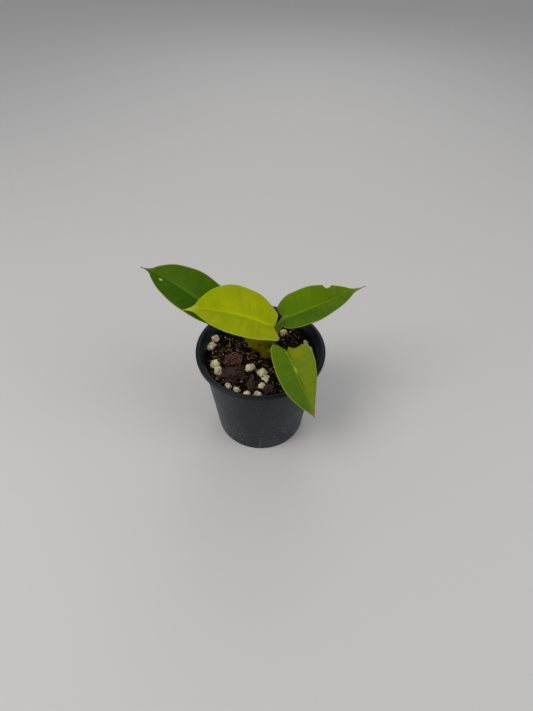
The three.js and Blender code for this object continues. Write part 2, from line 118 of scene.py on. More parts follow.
# Margins of half a blade, as shares of its length, or behind the base of its lobe, and of its half width
HEART = (
    (0, 0), (-0.47, 0.09), (-0.97, 0.38), (-0.7, 0.64), (0.09, 0.9), (0.22, 1.01), (0.42, 0.99), (0.63, 0.73),
)
SLIM_HEART = (
    (0, 0), (-0.35, 0.05), (-0.6, 0.17), (-0.55, 0.36), (-0.1, 0.58), (0.09, 0.82), (0.22, 0.98),
    (0.42, 0.98), (0.63, 0.73),
)
TORN_HEART = (
    (0, 0), (-0.11, 0.07), (-0.39, 0.18), (-0.11, 0.29), (0.006, 0.44), (0.007, 0.62), (0.007, 0.78),
    (0.045, 0.96), (0.115, 1.04), (0.186, 1.09), (0.31, 1.08), (0.41, 0.975), (0.63, 0.73),
)
DRIP_TIP = ((0.78, 0.36), (0.85, 0.13), (0.93, 0.025), (1, 0))
BLUNT_TIP = ((0.78, 0.42), (0.9, 0.17), (0.97, 0.035), (1, 0))
VEIN_SWEEP = 1.6
RIB_SPACING = 1.2
BLADE_ROWS = 150
BLADE_COLUMNS = 44
BLADE_STATIONS = 60
BLADE_END = 0.004
SIDE_VEINS = 17
RIB_SPREAD = 1.1
GROOVE_SPREAD = 0.7
GROOVE_DEPTH = 0.28
RIPPLE_HEIGHT = 0.4
RIPPLE_RATE = 0.23
SPLINE_PARTS = 24

# Each blade: base, heading and its turn, pitch and its dip, roll and its twist, fold, bow,
# length, taper, half widths, lobes, margins, notches as side, place, width and depth, then
# colours of the left half, right half, midrib and tip, and scars and spots of painted light
# and shade as place along, place across, length, width and colour.
LEAVES = {
    "leaf_back_left": {
        "base": (-28.7, 10.3, 108.5), "heading": (152, -9.5), "pitch": (30.5, -39), "roll": (-10, -16),
        "fold": 13, "bow": 3.9, "length": 89, "taper": 0.93, "width": (16.3, 21.6), "lobe": (10, 10),
        "margin": (SLIM_HEART + DRIP_TIP, HEART + DRIP_TIP), "notches": (), "slot": "leaf_dark_green",
        "colours": ((54, 87, 1), (62, 92, 1), (82, 112, 2), (98, 112, 8)),
        "scars_and_painted_light": ((0.785, 0.42, 0.018, 0.09, (196, 196, 130)),),
    },
    "leaf_gold": {
        "base": (9.3, -9.2, 119.4), "heading": (181, 5), "pitch": (36, -37), "roll": (-4, -20),
        "fold": 10, "bow": 2.2, "length": 71, "taper": 0.89, "width": (19.8, 25.5), "lobe": (4.8, 3),
        "margin": (HEART + DRIP_TIP, HEART + DRIP_TIP), "notches": (), "slot": "leaf_gold",
        "colours": ((140, 150, 1), (147, 157, 1), (172, 182, 2), (184, 184, 66)),
        "scars_and_painted_light": (),
    },
    "leaf_right": {
        "base": (19.3, 12.8, 109.2), "heading": (10.5, 12.5), "pitch": (20.5, -12), "roll": (4, -2),
        "fold": 12, "bow": 0.5, "length": 70, "taper": 1.15, "width": (20, 18), "lobe": (3.4, 3),
        "margin": (HEART + DRIP_TIP, HEART + DRIP_TIP), "notches": (("left", 0.655, 0.055, 0.17),),
        "slot": "leaf_mid_green",
        "colours": ((86, 114, 1), (68, 100, 1), (108, 134, 3), (142, 140, 40)),
        "scars_and_painted_light": ((0.655, 1.0, 0.04, 0.04, (150, 146, 70)),),
    },
    "leaf_front_right": {
        "base": (19, -33, 117.5), "heading": (-53, 16), "pitch": (-41, -28.5), "roll": (-6.5, -12.5),
        "fold": 7, "bow": 1.6, "length": 58.2, "taper": 0.96, "width": (20.5, 17.8), "lobe": (6.6, 9.5),
        "margin": (TORN_HEART + BLUNT_TIP, HEART + BLUNT_TIP), "notches": (), "slot": "leaf_two_tone",
        "colours": ((110, 128, 1), (68, 104, 1), (116, 134, 6), (122, 112, 30)),
        "scars_and_painted_light": (
            # The dark line at 0.62 along the midrib is painted shade in the rib's fold
            (0.42, 0.05, 0.05, 0.07, (160, 166, 70)), (0.62, 0.05, 0.14, 0.05, (58, 84, 2)),
            (0.22, 0.50, 0.12, 0.28, (134, 134, 2)), (0.06, 0.98, 0.16, 0.10, (104, 84, 20)),
            # A painted bluish sheen beside the midrib near the base of the blade
            (0.10, -0.12, 0.10, 0.12, (92, 118, 60)),
        ),
    },
}

# Each stalk: its start beside the crown's middle, the points on its way, and its two end radii
STALKS = {
    "leaf_back_left": ((-1.0, 0.2), ((0.4, 0.9, 87.5), (-11.5, 3.4, 97.5)), (3.1, 2.1)),
    "leaf_gold": ((0.4, -1.2), ((5.6, 0.8, 87), (8.6, -3.8, 104)), (3.2, 1.9)),
    "leaf_right": ((1.2, 1.2), ((7.2, 3.8, 85), (11.5, 8.6, 97)), (3.2, 2.7)),
    "leaf_front_right": ((0.8, -0.2), ((7.4, -1.6, 86.5), (13, -12, 95.9)), (2.9, 1.9)),
}
STALK_START_HEIGHT = 75

SHEATH_PATH = ((4.8, 1.4, 78), (2.9, 0.9, 86), (-3.7, 1.0, 98), (-8, 2.2, 109))
SHEATH_HALF_WIDTHS = (3.2, 6.1, 9.3, 7.6, 0.7)
SHEATH_HALF_DEPTHS = (3.0, 2.6, 1.7, 1.0, 0.5)

# A brown spot on the sheath, as its place across and its height
BROWN_SPOT = (-1.3, 92.6)

# Place of the eye in metres, and the turn of the view in degrees
EYE = (0.0048, -0.3003, 0.3981)
EYE_PITCH = 46.73
EYE_ROLL = 0.44
LENS = 27.04

# The floor and the lamps in metres, each lamp as its place, size and share of the main light
FLOOR_SIZE = 6.0
FLOOR_DROP = 0.0002
LIGHT_AIM = (0, 0, 0.09)
LIGHTS = {
    "key_light": ((-0.5, -0.3, 0.95), 0.6, 1.0),
    "fill_light": ((0.7, -0.4, 0.75), 0.8, 0.45),
    "back_light": ((0.1, 0.9, 0.7), 0.6, 0.35),
    "left_light": ((-0.95, -0.35, 0.22), 0.4, 0.55),
    "right_light": ((0.95, -0.2, 0.22), 0.4, 0.45),
}
WORLD_COLOUR = (0.92, 0.95, 1.0, 1)
WORLD_STRENGTH = 0.38

# How light sinks into the green of leaves and stalks
SINKING = {
    "Subsurface_Weight": 0.06, "Subsurface_Radius": (0.002, 0.003, 0.0005), "Subsurface_Scale": 0.4,
}


# Settings

def colour_setting(name, description, default):
    return bpy.props.FloatVectorProperty(
        name=name, description=description, subtype="COLOR", size=3, min=0, max=1, default=default)


def count_setting(name, description, most, default):
    return bpy.props.IntProperty(name=name, description=description, min=0, max=most, default=default)


def length_setting(name, description, least, most, default):
    return bpy.props.FloatProperty(
        name=name, description=description, min=least, max=most, default=default, unit="LENGTH")


class PotSettings(bpy.types.PropertyGroup):
    colour: colour_setting("Wall colour", "Colour of the pot's wall", (0.0048, 0.0088, 0.0118))
    lip_colour: colour_setting("Lip colour", "Colour of the lip and the inner wall", (0.006, 0.010, 0.012))
    scuffs: bpy.props.FloatProperty(
        name="Scuffs", description="Strength of the scuffs round the wall", min=0, max=1, default=0.5,
        subtype="FACTOR")


class MixSettings(bpy.types.PropertyGroup):
    crumbs: count_setting("Crumbs", "Number of dark crumbs on the mix", 4000, 1500)
    chips: count_setting("Chips", "Number of brown bark chips on the mix", 800, 95)
    splinters: count_setting("Splinters", "Number of pale wood splinters on the mix", 2000, 430)
    fibres: count_setting("Fibres", "Number of thin roots and fibres", 300, 95)
    relief: length_setting("Relief", "Height of the lumps in the mix", 0, 0.004, 0.0014)


class PlantSettings(bpy.types.PropertyGroup):
    blade_thickness: length_setting("Blade thickness", "Thickness of the leaf blades", 0.0002, 0.001, 0.0005)
    rib_depth: length_setting("Midrib depth", "How far the midrib stands out below", 0, 0.003, 0.0011)
    vein_depth: length_setting("Vein depth", "Depth of the side veins", 0, 0.001, 0.00004)


class StageSettings(bpy.types.PropertyGroup):
    floor_colour: colour_setting("Floor colour", "Colour of the plain floor", (0.62, 0.60, 0.58))
    light: bpy.props.FloatProperty(
        name="Light", description="Power of the main light", min=0, max=100, default=4.0, unit="POWER")


# Shader helpers

def tint(red, green, blue):
    """Linear colour from screen values of 0 to 255."""
    return tuple((value / 255) ** 2.2 for value in (red, green, blue))


def shaded(colour, share):
    return tuple(value * share for value in colour)


class Wire:
    """A socket on which arithmetic adds Math nodes."""

    def __init__(self, look, socket):
        self.look = look
        self.socket = socket

    def math(self, operation, *others):
        node = self.look.node("ShaderNodeMath", {"operation": operation}, dict(enumerate((self,) + others)))
        return Wire(self.look, node.outputs[0])

    __add__ = partialmethod(math, "ADD")
    __mul__ = partialmethod(math, "MULTIPLY")
    __sub__ = partialmethod(math, "SUBTRACT")
    __truediv__ = partialmethod(math, "DIVIDE")
    __pow__ = partialmethod(math, "POWER")

    def __rsub__(self, other):
        return (self * -1) + other

    def smooth(self, low, high):
        """0 below low, 1 above high, with a soft step between."""
        node = self.look.node(
            "ShaderNodeMapRange", {"interpolation_type": "SMOOTHSTEP"},
            {"Value": self, "From Min": low, "From Max": high})
        return Wire(self.look, node.outputs[0])


class Look:
    """A material under construction, ending in one principled shader."""

    def __init__(self, name):
        self.material = bpy.data.materials.new(name)
        self.material.use_nodes = True
        self.tree = self.material.node_tree
        self.tree.nodes.clear()
        self.shader = self.node("ShaderNodeBsdfPrincipled")
        output = self.node("ShaderNodeOutputMaterial")
        self.tree.links.new(self.shader.outputs[0], output.inputs["Surface"])
        places = self.node("ShaderNodeTexCoord").outputs
        self.place = places["Object"]
        self.uv = places["UV"]
        self.colour = None

    def node(self, kind, settings=None, inputs=None):
        node = self.tree.nodes.new(kind)
        for key, value in (settings or {}).items():
            setattr(node, key, value)
        for key, value in (inputs or {}).items():
            self.join(value, node.inputs[key])
        return node

    def join(self, value, socket):
        if isinstance(value, Wire):
            value = value.socket
        if isinstance(value, bpy.types.NodeSocket):
            self.tree.links.new(value, socket)
        elif socket.type == "RGBA" and len(value) == 3:
            socket.default_value = (*value, 1.0)
        else:
            socket.default_value = value

    def parts(self, vector):
        node = self.node("ShaderNodeSeparateXYZ", inputs={"Vector": vector})
        return [Wire(self, output) for output in node.outputs]

    def noise(self, scale, detail=3.0, roughness=0.55, distortion=0.0, place=None):
        """Noise at a place on the object, or at another place if one is given."""
        node = self.node("ShaderNodeTexNoise", inputs={
            "Vector": place or self.place, "Scale": scale, "Detail": detail, "Roughness": roughness,
            "Distortion": distortion})
        return Wire(self, node.outputs[0])

    def stretched(self, place, scales, detail, roughness, turn=0.0, distortion=0.0):
        """Noise with a scale for each axis, turned in degrees round the upright axis."""
        mapping = self.node("ShaderNodeMapping", inputs={
            "Vector": place, "Scale": scales, "Rotation": (0, 0, math.radians(turn))})
        return self.noise(1.0, detail, roughness, distortion, mapping.outputs[0])

    def cells(self, scale):
        node = self.node("ShaderNodeTexVoronoi", inputs={"Vector": self.place, "Scale": scale})
        return Wire(self, node.outputs["Distance"])

    def mix(self, factor, first, second):
        node = self.node("ShaderNodeMix", {"data_type": "RGBA"}, {0: factor, 6: first, 7: second})
        return node.outputs[2]

    def cover(self, factor, colour):
        """Lays another colour over the look's own."""
        self.colour = self.mix(factor, self.colour, colour)

    def times(self, first, second):
        node = self.node("ShaderNodeMix", {"data_type": "RGBA", "blend_type": "MULTIPLY"}, {
            0: 1.0, 6: first, 7: second})
        return node.outputs[2]

    def bump(self, height, strength, distance):
        node = self.node("ShaderNodeBump", inputs={
            "Height": height, "Strength": strength, "Distance": distance})
        return node.outputs[0]

    def finish(self, **sockets):
        self.join(self.colour, self.shader.inputs["Base Color"])
        for key, value in sockets.items():
            self.join(value, self.shader.inputs[key.replace("_", " ")])
        return self.material


# Modelling helpers

def deselect():
    if bpy.context.object and bpy.context.object.mode != "OBJECT":
        bpy.ops.object.mode_set(mode="OBJECT")
    bpy.ops.object.select_all(action="DESELECT")


def named(name):
    piece = bpy.context.object
    piece.name = name
    piece.data.name = name
    return piece


def activate(piece):
    deselect()
    piece.select_set(True)
    bpy.context.view_layer.objects.active = piece


def edit_all(piece):
    activate(piece)
    bpy.ops.object.mode_set(mode="EDIT")
    bpy.ops.mesh.select_all(action="SELECT")


def weld(piece, distance=1e-6):
    edit_all(piece)
    bpy.ops.mesh.remove_doubles(threshold=distance)
    bpy.ops.mesh.normals_make_consistent(inside=False)
    bpy.ops.object.mode_set(mode="OBJECT")


def smooth(piece, angle):
    activate(piece)
    bpy.ops.object.shade_smooth_by_angle(angle=math.radians(angle))


def apply_modifier(piece, kind, **settings):
    modifier = piece.modifiers.new(kind.title(), kind)
    for key, value in settings.items():
        setattr(modifier, key, value)
    activate(piece)
    bpy.ops.object.modifier_apply(modifier=modifier.name)


def shaped_grid(name, steps, place):
    """A grid whose two directions, each from 0 to 1, are laid along a surface by place."""
    deselect()
    bpy.ops.mesh.primitive_grid_add(
        x_subdivisions=steps[0], y_subdivisions=steps[1], size=1.0, calc_uvs=True)
    piece = named(name)
    for vertex in piece.data.vertices:
        vertex.co = place(vertex.co.x + 0.5, vertex.co.y + 0.5) * MM
    return piece


def dress(piece, slot, material, *nodes):
    """Gives a finished piece its material and its body, and hides the nodes it stands for. The slot is not
    used.
    """
    piece.data.materials.clear()
    piece.data.materials.append(material)
    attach(piece, BODY)
    if nodes:
        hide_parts(*nodes)


def repeatable(seed):
    """The same numbers between 0 and 1 as the source model draws."""
    state = seed
    while True:
        state = (state * 16807) % 2147483647
        yield state / 2147483647


def lerp(low, high, share):
    return low + (high - low) * share


def along(values, share):
    place = share * (len(values) - 1)
    index = min(int(place), len(values) - 2)
    return lerp(values[index], values[index + 1], place - index)


def step(low, high, value):
    share = min(1.0, max(0.0, (value - low) / (high - low)))
    return share * share * (3 - 2 * share)


class Spline:
    """A smooth curve through points, read by the share of its length."""

    def __init__(self, points):
        points = [Vector(point) for point in points]
        ends = [points[0] * 2 - points[1], *points, points[-1] * 2 - points[-2]]
        self.samples = []
        for index in range(len(points) - 1):
            a, b, c, d = ends[index:index + 4]
            for part in range(SPLINE_PARTS):
                t = part / SPLINE_PARTS
                self.samples.append(0.5 * (
                    b * 2 + (c - a) * t + (a * 2 - b * 5 + c * 4 - d) * t * t
                    + (b * 3 - a - c * 3 + d) * t ** 3))
        self.samples.append(points[-1])
        self.lengths = [0.0]
        for first, second in zip(self.samples, self.samples[1:]):
            self.lengths.append(self.lengths[-1] + (second - first).length)

    def at(self, share):
        target = min(1.0, max(0.0, share)) * self.lengths[-1]
        low, high = 0, len(self.lengths) - 1
        while high - low > 1:
            middle = (low + high) // 2
            if self.lengths[middle] <= target:
                low = middle
            else:
                high = middle
        span = self.lengths[high] - self.lengths[low]
        return self.samples[low].lerp(self.samples[high], (target - self.lengths[low]) / max(span, 1e-9))

    def direction(self, share):
        ahead = self.at(min(1.0, share + 0.01)) - self.at(max(0.0, share - 0.01))
        return ahead.normalized()


def inner_radius(height):
    slope = (NECK_RADIUS - BASE_RADIUS) / (POT_HEIGHT - LIP_HEIGHT)
    return BASE_RADIUS - WALL + slope * height


def mix_reach():
    """How far out from the pot's middle the middles of crumbs, chips and splinters may lie."""
    return inner_radius(MIX_LEVEL) - MIX_EDGE


def mix_height(x, y):
    share = min(1.0, math.hypot(x, y) / inner_radius(MIX_LEVEL))
    swell = 0.7 * math.sin(0.21 * x + 1.1) * math.cos(0.19 * y + 0.4)
    ripple = 0.45 * math.sin(0.74 * x + 0.43 * y) + 0.3 * math.sin(0.5 * x - 1.3 * y + 2)
    return MIX_LEVEL + MIX_MOUND * (1 - share * share) + swell + ripple


# Pot

def pot_profile():
    under = POT_HEIGHT - LIP_HEIGHT
    inside = RIM_RADIUS - LIP_WIDTH
    rounds = []
    for angle in (math.pi / 2, math.pi / 3, math.pi / 6, 0):
        rounds.append((
            RIM_RADIUS - EDGE_ROUND + EDGE_ROUND * math.sin(angle),
            POT_HEIGHT - EDGE_ROUND + EDGE_ROUND * math.cos(angle)))
    return [
        (BASE_RADIUS - EDGE_ROUND, 0), (BASE_RADIUS - 0.3, 0.25), (BASE_RADIUS, EDGE_ROUND),
        (BASE_RADIUS + 0.12, 2), (NECK_RADIUS - 0.2, under - 1.5), (NECK_RADIUS, under - 0.3),
        (NECK_RADIUS + 0.5, under), (RIM_RADIUS - 0.5, under + 0.1), (RIM_RADIUS - 0.12, under + 0.35),
        (RIM_RADIUS, under + EDGE_ROUND), *rounds, (inside + 0.5, POT_HEIGHT), (inside, POT_HEIGHT - 0.25),
        (inside - 0.4, POT_HEIGHT - 0.9), (inside - 0.9, POT_HEIGHT - 2), (inside - 1.7, POT_HEIGHT - 3.4),
        (inner_radius(under - 2) + 0.1, under - 1.6), (inner_radius(under - 3), under - 3),
        (inner_radius(FLOOR + 1), FLOOR + 1), (inner_radius(FLOOR) - 1, FLOOR),
    ]


def pot_material(settings):
    look = Look("pot_plastic")
    wall = settings.colour
    height = look.parts(look.place)[2] / (POT_HEIGHT * MM)
    cloud = look.noise(45, 4, 0.6)
    rings = look.stretched(look.place, (12, 12, 900), 4, 0.6)
    moulding = (height * 560).math("SINE").smooth(0.55, 1.0) * height.smooth(0.86, 0.90)
    scuff = look.stretched(look.place, (60, 60, 700), 3, 0.7).smooth(0.56, 0.74)
    lip = height.smooth(0.945, 0.96)
    specks = look.cells(340).smooth(0.24, 0.14) * look.noise(120, 2).smooth(0.44, 0.52)
    dirt = specks * height.smooth(0.50, 0.20)
    dust = look.noise(75, 4, 0.65).smooth(0.45, 0.75) * height.smooth(0.85, 0.2)
    look.colour = look.mix(cloud * 0.55, wall, shaded(wall, 1.35))
    look.cover(rings.smooth(0.4, 0.7) * 0.25, shaded(wall, 0.75))
    look.cover(scuff * settings.scuffs, shaded(wall, 2.6))
    chalk = look.noise(520, 4, 0.7).smooth(0.52, 0.72) * look.noise(60, 3).smooth(0.42, 0.62)
    look.cover(dust * 0.34, tint(66, 72, 75))
    look.cover(chalk * 0.30, tint(92, 100, 102))
    look.cover(moulding * (1 - lip) * 0.5, shaded(wall, 2.6))
    look.cover(lip, settings.lip_colour)
    look.cover(dirt * 0.8, tint(150, 142, 122))
    roughness = cloud * 0.15 + scuff * 0.12 + rings * 0.06 + 0.27
    relief = rings * 0.4 + cloud * 0.3 + dirt * 1.2 + moulding * 0.8
    return look.finish(
        Roughness=roughness, Normal=look.bump(relief, 0.25, 0.0003),
        Specular_IOR_Level=0.20)


class PLANT_OT_pot(bpy.types.Operator):
    """Model the nursery pot with its rolled lip and drain holes"""
    bl_idname = "plant.pot"
    bl_label = "Pot"

    def execute(self, context):
        profile = pot_profile()
        radius, height = profile[0]
        deselect()
        bpy.ops.mesh.primitive_circle_add(
            vertices=POT_SIDES, radius=radius * MM, fill_type="NGON", location=(0, 0, height * MM))
        pot = named("pot_shell")
        edit_all(pot)
        for (before, low), (after, high) in zip(profile, profile[1:]):
            bpy.ops.mesh.extrude_region_move(TRANSFORM_OT_translate={"value": (0, 0, (high - low) * MM)})
            bpy.ops.transform.resize(value=(after / before, after / before, 1), center_override=(0, 0, 0))
        bpy.ops.object.mode_set(mode="OBJECT")
        deselect()
        cutters = []
        for index in range(DRAINS):
            angle = index / DRAINS * math.tau
            bpy.ops.mesh.primitive_cylinder_add(
                vertices=DRAIN_SIDES, radius=DRAIN_RADIUS * MM, depth=FLOOR * 3 * MM, location=(
                    DRAIN_CIRCLE * MM * math.cos(angle), DRAIN_CIRCLE * MM * math.sin(angle), FLOOR / 2 * MM))
            cutters.append(bpy.context.object)
        for cutter in cutters:
            cutter.select_set(True)
        bpy.ops.object.join()
        cutter = bpy.context.object
        apply_modifier(pot, "BOOLEAN", operation="DIFFERENCE", object=cutter, solver="EXACT")
        bpy.data.objects.remove(cutter)
        weld(pot)
        smooth(pot, 35)
        dress(pot, "pot_plastic", pot_material(context.scene.pot_settings), "pot")
        return {"FINISHED"}


# Potting mix

def mix_material():
    look = Look("potting_mix")
    broad = look.noise(120, 4, 0.6)
    fine = look.noise(900, 5, 0.7)
    flecks = look.cells(620).smooth(0.3, 0.12) * look.noise(260, 2).smooth(0.52, 0.62)
    look.colour = look.mix(fine, tint(3, 3, 3), tint(13, 10, 8))
    look.cover(broad.smooth(0.58, 0.8) * 0.35, tint(32, 21, 14))
    look.cover(flecks * 0.8, tint(104, 80, 50))
    return look.finish(
        Roughness=fine * 0.3 + 0.55, Normal=look.bump(fine + broad, 0.8, 0.0006),
        Specular_IOR_Level=0.15)


def mix_surface(relief):
    """Height and radius of the mix at a share of the way out, round the pot, and down its side."""
    top = 0.86
    side = 0.95

    def place(out, turn):
        angle = turn * math.tau
        share = min(out / top, 1.0)
        radius = share * (inner_radius(MIX_LEVEL) - MIX_GAP)
        x, y = radius * math.cos(angle), radius * math.sin(angle)
        spot = Vector((x, y, 0))
        lumps = noise.fractal(spot * 0.32, 0.9, 2.1, 4)
        lumps += 0.8 * abs(noise.noise(spot * 0.7 + Vector((9, 4, 2))))
        grit = noise.noise(spot * 2.1) * 0.35 + noise.noise(spot * 3.7) * 0.2
        height = mix_height(x, y) + relief / MM * (lumps - 0.3 + grit) - 0.5
        if out > top:
            drop = min((out - top) / (side - top), 1.0)
            height = lerp(height, FLOOR + 0.4, drop)
            radius = inner_radius(height) - MIX_GAP
            if out > side:
                radius *= 1 - (out - side) / (1 - side)
        return Vector((radius * math.cos(angle), radius * math.sin(angle), height))

    return place


class PLANT_OT_mix(bpy.types.Operator):
    """Model the potting mix that fills the pot"""
    bl_idname = "plant.mix"
    bl_label = "Potting mix"

    def execute(self, context):
        mix = shaped_grid("potting_mix", (150, 300), mix_surface(context.scene.mix_settings.relief))
        weld(mix, 1e-5)
        smooth(mix, 180)
        dress(mix, "potting_mix", mix_material(), "soil")
        return {"FINISHED"}


# Loose pieces on the mix

def ball_shape(levels):
    """Corners and faces of a round blank, from which lumps are shaped."""
    deselect()
    bpy.ops.mesh.primitive_ico_sphere_add(subdivisions=levels, radius=1.0)
    blank = bpy.context.object
    corners = [vertex.co.copy() for vertex in blank.data.vertices]
    faces = [tuple(face.vertices) for face in blank.data.polygons]
    mesh = blank.data
    bpy.data.objects.remove(blank)
    bpy.data.meshes.remove(mesh)
    return corners, faces


def gathered(name, shapes):
    """One mesh from many small shapes, each given as its corners and faces."""
    corners = []
    faces = []
    for shape_corners, shape_faces in shapes:
        start = len(corners)
        corners.extend(corner * MM for corner in shape_corners)
        faces.extend(tuple(start + index for index in face) for face in shape_faces)
    mesh = bpy.data.meshes.new(name)
    mesh.from_pydata(corners, [], faces)
    mesh.update()
    piece = bpy.data.objects.new(name, mesh)
    bpy.context.scene.collection.objects.link(piece)
    return piece


def drawn(draw, most):
    return Vector((draw.uniform(0, most), draw.uniform(0, most), draw.uniform(0, most)))


def rough_lump(blank, half, draw, roughness, boxiness=1.0):
    """A lump with uneven faces, turned at random."""
    corners, faces = blank
    shift = drawn(draw, 50)
    turn = Matrix.Rotation(draw.uniform(0, math.tau), 3, "Z")
    turn = turn @ Matrix.Rotation(draw.uniform(-0.5, 0.5), 3, "X")
    shaped = []
    for corner in corners:
        square = Vector(math.copysign(abs(value) ** boxiness, value) for value in corner)
        reach = 1 + roughness * noise.noise(corner * 1.6 + shift)
        shaped.append(turn @ Vector((square.x * half[0], square.y * half[1], square.z * half[2])) * reach)
    return shaped, faces


def free_spot(draw, reach, clear=CROWN_RADIUS + 0.6):
    """A random place on the mix away from the crown."""
    while True:
        angle = draw.uniform(0, math.tau)
        radius = math.sqrt(draw.random()) * reach
        x, y = radius * math.cos(angle), radius * math.sin(angle)
        if math.hypot(x - CROWN_PLACE[0], y - CROWN_PLACE[1]) > clear:
            return x, y


def settled(shape, x, y, lift):
    """A shape moved onto the mix at a place, with its middle lifted above the surface."""
    corners, faces = shape
    rest = Vector((x, y, mix_height(x, y) + lift))
    return [corner + rest for corner in corners], faces


def grain_material(name, dark, light, scale, rusty=0.0):
    """Loose bits, each in its own shade, with rust-coloured patches as strong as rusty."""
    look = Look(name)
    each = Wire(look, look.node("ShaderNodeNewGeometry").outputs["Random Per Island"])
    fine = look.noise(scale * 3, 4, 0.65)
    broad = look.noise(scale, 3)
    look.colour = look.mix((each * 0.7 + broad * 0.5).smooth(0.2, 1.0), dark, light)
    look.cover(fine.smooth(0.62, 0.4) * 0.5, shaded(dark, 0.55))
    rust = look.noise(75, 2).smooth(0.50, 0.58)
    look.cover(rust * rusty, look.times(look.colour, (1.0, 0.62, 0.30)))
    return look.finish(
        Roughness=fine * 0.2 + 0.75,
        Normal=look.bump(fine + broad, 0.7, 0.0004), Specular_IOR_Level=0.2)


class PLANT_OT_crumbs(bpy.types.Operator):
    """Scatter crumbs, bark chips and fibres over the mix"""
    bl_idname = "plant.crumbs"
    bl_label = "Crumbs"

    def execute(self, context):
        settings = context.scene.mix_settings
        draw = random.Random(CRUMB_SEED)
        small = ball_shape(1)
        large = ball_shape(2)
        reach = mix_reach()
        crumbs = []
        for _ in range(settings.crumbs):
            size = draw.uniform(0.35, 1.0) if draw.random() < 0.75 else draw.uniform(1.0, 1.9)
            half = (size * draw.uniform(1, 1.6), size, size * draw.uniform(0.5, 0.9))
            lump = rough_lump(large if size > 1 else small, half, draw, 0.6, 0.85)
            x, y = free_spot(draw, reach)
            crumbs.append(settled(lump, x, y, draw.uniform(-0.2, 0.9)))
        piece = gathered("mix_crumbs", crumbs)
        dress(piece, "potting_mix", grain_material("crumbs", tint(2, 2, 2), tint(17, 12, 9), 500))
        chips = []
        for _ in range(settings.chips):
            size = draw.uniform(0.8, 2.3)
            half = (size * draw.uniform(1.1, 2.0), size * draw.uniform(0.5, 0.9), size * 0.35)
            lump = rough_lump(large, half, draw, 0.5, 0.6)
            x, y = free_spot(draw, reach - 1)
            chips.append(settled(lump, x, y, draw.uniform(0.2, 1.1)))
        piece = gathered("mix_bark_chips", chips)
        dress(piece, "bark_brown", grain_material("bark_chips", tint(20, 11, 8), tint(88, 50, 27), 300))
        splinters = []
        for index in range(settings.splinters):
            size = draw.uniform(0.22, 0.55)
            half = (size * draw.uniform(1.2, 4.0), size * draw.uniform(0.5, 0.9), size * 0.5)
            lump = rough_lump(small, half, draw, 0.6, 0.7)
            x, y = free_spot(draw, reach)
            if index % 4 == 0:
                x, y = self.heaped(draw, SPLINTER_HEAPS[index // 4 % len(SPLINTER_HEAPS)])
            splinters.append(settled(lump, x, y, draw.uniform(0.5, 1.5)))
        piece = gathered("mix_splinters", splinters)
        pale = grain_material("splinters", tint(58, 40, 22), tint(232, 196, 130), 300, rusty=0.8)
        dress(piece, "bark_brown", pale)
        fibres = [self.strand(ROOT_LOOP)]
        for _ in range(settings.fibres):
            fibres.append(self.fibre(draw, reach))
        piece = gathered("mix_fibres", fibres)
        smooth(piece, 180)
        dress(piece, "bark_brown", grain_material("fibres", tint(66, 44, 24), tint(172, 128, 74), 300))
        return {"FINISHED"}

    def heaped(self, draw, heap):
        """A place near the middle of a heap, given with its spread."""
        x, y, spread = heap
        while True:
            spot = (draw.gauss(x, spread), draw.gauss(y, spread))
            beside = math.hypot(spot[0] - CROWN_PLACE[0], spot[1] - CROWN_PLACE[1])
            if beside > CROWN_RADIUS + 1 and math.hypot(*spot) < mix_reach():
                return spot

    def fibre(self, draw, reach):
        """A thin strand that lies in a loose bend on the mix."""
        x, y = free_spot(draw, reach - 5, CROWN_RADIUS + 3)
        heading = draw.uniform(0, math.tau)
        bend = draw.uniform(-0.25, 0.25)
        return self.strand((x, y, heading, bend, draw.uniform(4, 11), draw.uniform(0.12, 0.34)))

    def strand(self, course):
        """A round strand from its place, heading, bend, length and half width."""
        x, y, heading, bend, length, width = course
        reach = mix_reach()
        rings = 9
        sides = 5
        corners = []
        for ring in range(rings + 1):
            share = ring / rings
            here = Vector((x, y, mix_height(x, y) + 0.9 + 0.7 * math.sin(share * math.pi)))
            side = Vector((-math.sin(heading), math.cos(heading), 0))
            size = width * (0.4 + 0.6 * math.sin(math.pi * (0.12 + 0.76 * share)))
            for index in range(sides):
                angle = index / sides * math.tau
                corners.append(here + side * size * math.cos(angle) + Vector((0, 0, size * math.sin(angle))))
            x += math.cos(heading) * length / rings
            y += math.sin(heading) * length / rings
            heading += bend
            if math.hypot(x, y) > reach - 1:
                heading += 0.6
        faces = [tuple(reversed(range(sides))), tuple(rings * sides + index for index in range(sides))]
        for ring in range(rings):
            for index in range(sides):
                low = ring * sides
                after = (index + 1) % sides
                faces.append((low + index, low + after, low + sides + after, low + sides + index))
        return corners, faces


# Perlite

def perlite_grains():
    """Place and half sizes of each large grain."""
    draw = repeatable(PERLITE_SEED)
    for start, end, count, sizes in PERLITE_RUNS:
        for index in range(count):
            share = index / max(1, count - 1)
            x = lerp(start[0], end[0], share) + PERLITE_SCATTER * (next(draw) - 0.5)
            y = lerp(start[1], end[1], share) + PERLITE_SCATTER * (next(draw) - 0.5)
            size = lerp(*sizes, next(draw))
            wide = size * (0.85 + 0.35 * next(draw))
            yield x, y, (wide, size, size * 0.85)


def perlite_material():
    look = Look("perlite")
    shaded_pits = look.cells(1400).smooth(0.05, 0.4)
    broad = look.noise(260, 3)
    patch = look.noise(300, 4, 0.65).smooth(0.50, 0.72)
    hole_shade = look.noise(560, 2, 0.5).smooth(0.61, 0.68)
    look.colour = look.mix(broad.smooth(0.3, 0.7), tint(198, 186, 138), tint(240, 230, 190))
    look.cover(patch * 0.75, tint(158, 122, 58))
    # Painted shade darkens the pits and the holes in the grains
    look.cover((1 - shaded_pits) * 0.40, tint(92, 78, 48))
    look.cover(hole_shade * 0.85, tint(40, 30, 20))
    return look.finish(
        Roughness=shaded_pits * 0.1 + 0.78, Normal=look.bump(shaded_pits + broad, 0.7, 0.0004))


